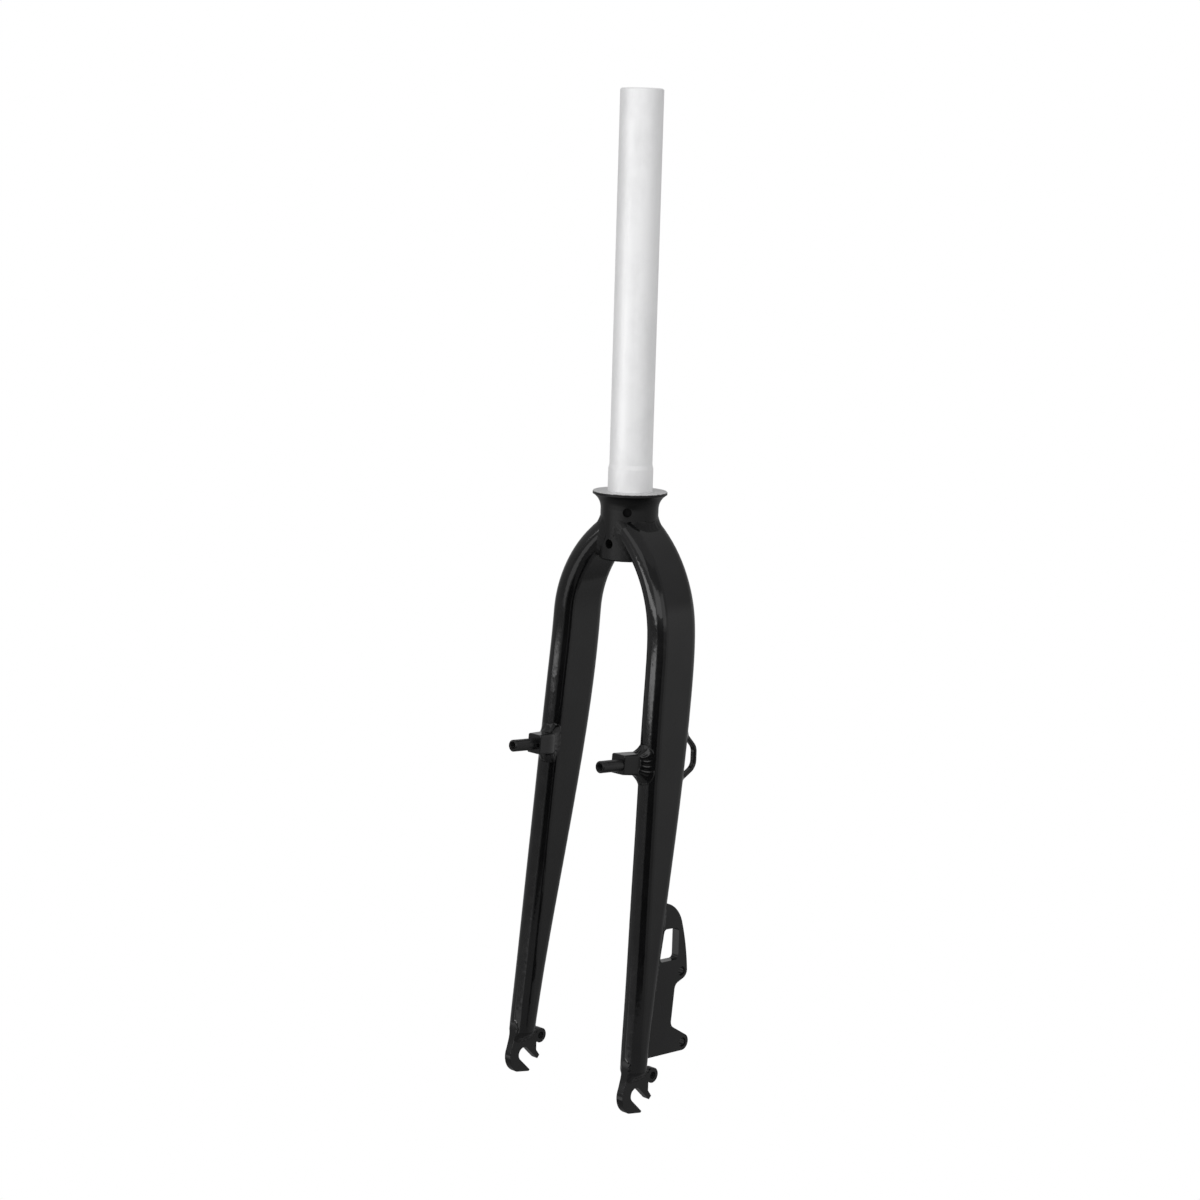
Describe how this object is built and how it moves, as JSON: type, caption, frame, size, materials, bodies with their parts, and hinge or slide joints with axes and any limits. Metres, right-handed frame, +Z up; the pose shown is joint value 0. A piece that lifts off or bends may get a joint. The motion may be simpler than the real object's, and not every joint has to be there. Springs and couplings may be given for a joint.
{
  "type": "rigid bicycle fork",
  "caption": "Rigid bicycle fork with a bare straight steerer, flared crown, tapered oval legs, rim brake pivot studs, a disc brake mount on the left leg and hooked dropouts.",
  "frame": {"origin": "on the steerer axis, in the plane of the crown flange's top, where the headset's crown race sits", "axes": "+Z up the steerer, -Y forward in the direction of travel, +X to the rider's left"},
  "size_m": [0.122, 0.0904, 0.6723],
  "materials": {
    "bare_aluminium": "fine satin, as drawn",
    "black_paint": "glossy black",
    "black_stud": "black, satin"
  },
  "bodies": {
    "root": {"steerer_tube": "bare_aluminium", "crown": "black_paint", "left_leg": "black_paint", "right_leg": "black_paint", "left_dropout": "black_paint", "right_dropout": "black_paint", "left_brake_boss": "black_paint", "right_brake_boss": "black_paint", "left_brake_stud": "black_stud", "right_brake_stud": "black_stud", "disc_brake_mount": "black_paint", "hose_guide": "black_paint"}
  },
  "joints": []
}
